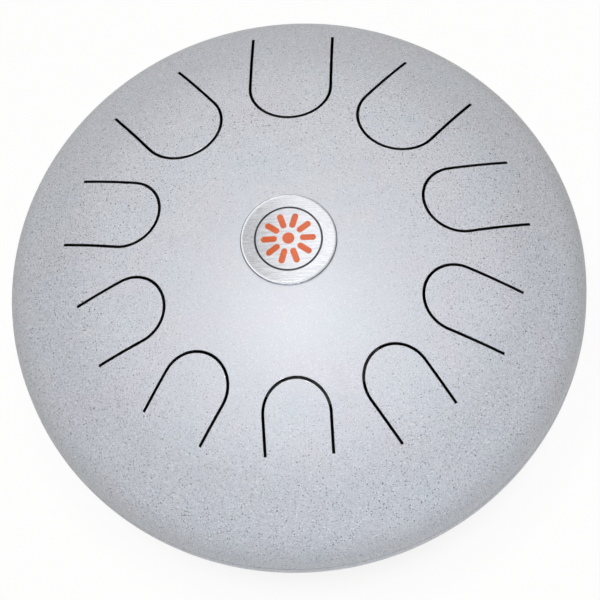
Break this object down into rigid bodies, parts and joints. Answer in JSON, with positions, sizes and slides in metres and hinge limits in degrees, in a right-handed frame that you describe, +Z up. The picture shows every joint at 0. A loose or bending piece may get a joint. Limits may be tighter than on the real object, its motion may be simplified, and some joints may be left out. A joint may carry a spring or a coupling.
{
  "type": "tongue drum",
  "caption": "Round steel tongue drum of domed shells, with U-cut tongues that flex when struck, a badge at the crown, a sound port beneath and rubber feet.",
  "frame": {"origin": "on the drum's axis, in the plane that the feet rest on", "axes": "+Z up through the crown; -Y towards the shortest tongue, which is the front; +X to the right seen from the front"},
  "size_m": [0.305, 0.305, 0.1557],
  "materials": {
    "paint": "pale cool grey powder coat with fine dark specks, lightly sandy, satin",
    "tape": "black foam adhesive tape",
    "badge_metal": "straight-brushed aluminium",
    "clear_resin": "clear domed resin, glossy",
    "rubber": "matt black moulded rubber"
  },
  "bodies": {
    "drum": {"top_shell": "paint", "bottom_shell": "paint", "seam_weld": "paint", "badge_tape": "tape", "badge_plate": "badge_metal", "badge_dome": "clear_resin", "foot_1": "rubber", "foot_2": "rubber", "foot_3": "rubber", "foot_4": "rubber", "foot_pad_1": "tape", "foot_pad_2": "tape", "foot_pad_3": "tape", "foot_pad_4": "tape"},
    "tongue_01": {"tongue_01": "paint"},
    "tongue_02": {"tongue_02": "paint"},
    "tongue_03": {"tongue_03": "paint"},
    "tongue_04": {"tongue_04": "paint"},
    "tongue_05": {"tongue_05": "paint"},
    "tongue_06": {"tongue_06": "paint"},
    "tongue_07": {"tongue_07": "paint"},
    "tongue_08": {"tongue_08": "paint"},
    "tongue_09": {"tongue_09": "paint"},
    "tongue_10": {"tongue_10": "paint"}
  },
  "joints": [
    {"name": "tongue_01_flex", "type": "hinge", "parent": "drum", "child": "tongue_01", "pos_m": [0, -0.10764, 0.12515], "axis": [-1, 0, 0], "range_deg": [-0.8, 0.8], "stiffness_Nm_per_rad": 375},
    {"name": "tongue_02_flex", "type": "hinge", "parent": "drum", "child": "tongue_02", "pos_m": [0.06687, -0.09306, 0.12128], "axis": [-0.8121, -0.5835, 0], "range_deg": [-0.8, 0.8], "stiffness_Nm_per_rad": 322},
    {"name": "tongue_03_flex", "type": "hinge", "parent": "drum", "child": "tongue_03", "pos_m": [0.11281, -0.03995, 0.11825], "axis": [-0.3338, -0.9426, 0], "range_deg": [-0.8, 0.8], "stiffness_Nm_per_rad": 290},
    {"name": "tongue_04_flex", "type": "hinge", "parent": "drum", "child": "tongue_04", "pos_m": [0.11918, 0.0335, 0.11565], "axis": [0.2706, -0.9627, 0], "range_deg": [-0.8, 0.8], "stiffness_Nm_per_rad": 285},
    {"name": "tongue_05_flex", "type": "hinge", "parent": "drum", "child": "tongue_05", "pos_m": [0.08033, 0.10099, 0.11218], "axis": [0.7826, -0.6225, 0], "range_deg": [-0.8, 0.8], "stiffness_Nm_per_rad": 298},
    {"name": "tongue_06_flex", "type": "hinge", "parent": "drum", "child": "tongue_06", "pos_m": [0.00374, 0.13389, 0.10873], "axis": [0.9996, -0.0279, 0], "range_deg": [-0.8, 0.8], "stiffness_Nm_per_rad": 276},
    {"name": "tongue_07_flex", "type": "hinge", "parent": "drum", "child": "tongue_07", "pos_m": [-0.07502, 0.10364, 0.11292], "axis": [0.81, 0.5864, 0], "range_deg": [-0.8, 0.8], "stiffness_Nm_per_rad": 301},
    {"name": "tongue_08_flex", "type": "hinge", "parent": "drum", "child": "tongue_08", "pos_m": [-0.11441, 0.03585, 0.11811], "axis": [0.299, 0.9542, 0], "range_deg": [-0.8, 0.8], "stiffness_Nm_per_rad": 296},
    {"name": "tongue_09_flex", "type": "hinge", "parent": "drum", "child": "tongue_09", "pos_m": [-0.10752, -0.03535, 0.12209], "axis": [-0.3123, 0.95, 0], "range_deg": [-0.8, 0.8], "stiffness_Nm_per_rad": 317},
    {"name": "tongue_10_flex", "type": "hinge", "parent": "drum", "child": "tongue_10", "pos_m": [-0.06516, -0.08936, 0.12354], "axis": [-0.808, 0.5892, 0], "range_deg": [-0.8, 0.8], "stiffness_Nm_per_rad": 342}
  ]
}
